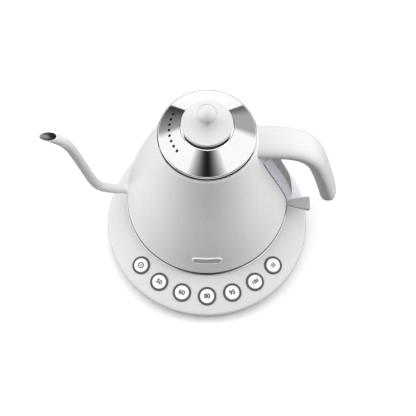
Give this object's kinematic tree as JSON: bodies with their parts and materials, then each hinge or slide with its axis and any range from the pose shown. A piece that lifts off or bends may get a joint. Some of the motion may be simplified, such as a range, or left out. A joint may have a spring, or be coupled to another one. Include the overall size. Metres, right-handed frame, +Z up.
{
  "type": "gooseneck kettle",
  "caption": "White electric gooseneck kettle with chrome lid and hook handle, standing on a round silver power base with a keypad arc.",
  "frame": {"origin": "on the table, at the middle of the whole object's outline", "axes": "+Z up, +X towards the handle, -X towards the spout, -Y towards the keypad"},
  "size_m": [0.3051, 0.2248, 0.2427],
  "materials": {
    "silver_plastic": "satin silver-grey",
    "white_satin": "fine-textured satin white",
    "cap_white": "smooth white",
    "chrome": "polished",
    "steel": "brushed",
    "brass": "plain",
    "grey_plastic": "satin",
    "lever_grey": "satin",
    "bezel_grey": "satin dark grey",
    "black_plastic": "matte",
    "board_green": "satin",
    "rubber": "matte",
    "silicone": "matte",
    "gauge_grey": "gloss"
  },
  "bodies": {
    "base": {"base_cover": "silver_plastic", "base_pan": "black_plastic", "control_board": "board_green", "keypad_mat": "silicone", "power_board": "board_green", "power_relay": "black_plastic", "coupler_post": "black_plastic", "coupler_contact_ring": "brass", "coupler_pin": "brass", "cord_gland": "black_plastic", "rubber_foot_1": "rubber", "base_screw_1": "steel", "rubber_foot_2": "rubber", "base_screw_2": "steel", "rubber_foot_3": "rubber", "base_screw_3": "steel", "rubber_foot_4": "rubber", "base_screw_4": "steel", "bezel_power": "bezel_grey", "bezel_50": "bezel_grey", "bezel_60": "bezel_grey", "bezel_80": "bezel_grey", "bezel_95": "bezel_grey", "bezel_100": "bezel_grey", "bezel_keep_warm": "bezel_grey"},
    "button_power": {"button_power": "cap_white"},
    "button_50": {"button_50": "cap_white"},
    "button_60": {"button_60": "cap_white"},
    "button_80": {"button_80": "cap_white"},
    "button_95": {"button_95": "cap_white"},
    "button_100": {"button_100": "cap_white"},
    "button_keep_warm": {"button_keep_warm": "cap_white"},
    "coupler": {"coupler_socket": "black_plastic"},
    "kettle": {"body_shell": "white_satin", "spout_tube": "white_satin", "spout_strainer": "steel", "bottom_trim_ring": "chrome", "bottom_cover": "black_plastic", "heating_plate": "steel", "plate_gasket": "silicone", "heating_element": "steel", "temperature_sensor": "brass", "neck_collar": "chrome", "gauge_frame": "chrome", "gauge_window": "gauge_grey", "handle_grip": "white_satin", "handle_trim": "chrome", "handle_liner": "grey_plastic", "handle_saddle": "steel", "handle_screw_lower": "steel", "handle_screw_upper": "steel", "name_plate": "steel", "lever_pin": "steel"},
    "lever": {"switch_lever": "lever_grey"},
    "lid": {"lid_cone": "chrome", "lid_cap": "cap_white", "lid_knob": "cap_white", "lid_screw": "steel", "lid_skirt": "black_plastic", "lid_seal": "silicone"}
  },
  "joints": [
    {"name": "press_power", "type": "slide", "parent": "base", "child": "button_power", "axis": [0.1824, 0.143, -0.9728], "range_m": [0, 0.0008], "stiffness_N_per_m": 400},
    {"name": "press_50", "type": "slide", "parent": "base", "child": "button_50", "axis": [0.1316, 0.1908, -0.9728], "range_m": [0, 0.0008], "stiffness_N_per_m": 400},
    {"name": "press_60", "type": "slide", "parent": "base", "child": "button_60", "axis": [0.0689, 0.2213, -0.9728], "range_m": [0, 0.0008], "stiffness_N_per_m": 400},
    {"name": "press_80", "type": "slide", "parent": "base", "child": "button_80", "axis": [0, 0.2317, -0.9728], "range_m": [0, 0.0008], "stiffness_N_per_m": 400},
    {"name": "press_95", "type": "slide", "parent": "base", "child": "button_95", "axis": [-0.0689, 0.2213, -0.9728], "range_m": [0, 0.0008], "stiffness_N_per_m": 400},
    {"name": "press_100", "type": "slide", "parent": "base", "child": "button_100", "axis": [-0.1316, 0.1908, -0.9728], "range_m": [0, 0.0008], "stiffness_N_per_m": 400},
    {"name": "press_keep_warm", "type": "slide", "parent": "base", "child": "button_keep_warm", "axis": [-0.1824, 0.143, -0.9728], "range_m": [0, 0.0008], "stiffness_N_per_m": 400},
    {"name": "kettle_lift", "type": "slide", "parent": "base", "child": "coupler", "axis": [0, 0, 1], "range_m": [0, 0.06]},
    {"name": "kettle_swivel", "type": "hinge", "parent": "coupler", "child": "kettle", "pos_m": [0.0097, 0.0202, 0.0283], "axis": [0, 0, 1], "continuous": true},
    {"name": "lever_tilt", "type": "hinge", "parent": "kettle", "child": "lever", "pos_m": [0.0907, 0.0117, 0.038], "axis": [0, 1, 0], "range_deg": [0, 7]},
    {"name": "lid_lift", "type": "slide", "parent": "kettle", "child": "lid", "axis": [0, 0, 1], "range_m": [0, 0.05]}
  ]
}
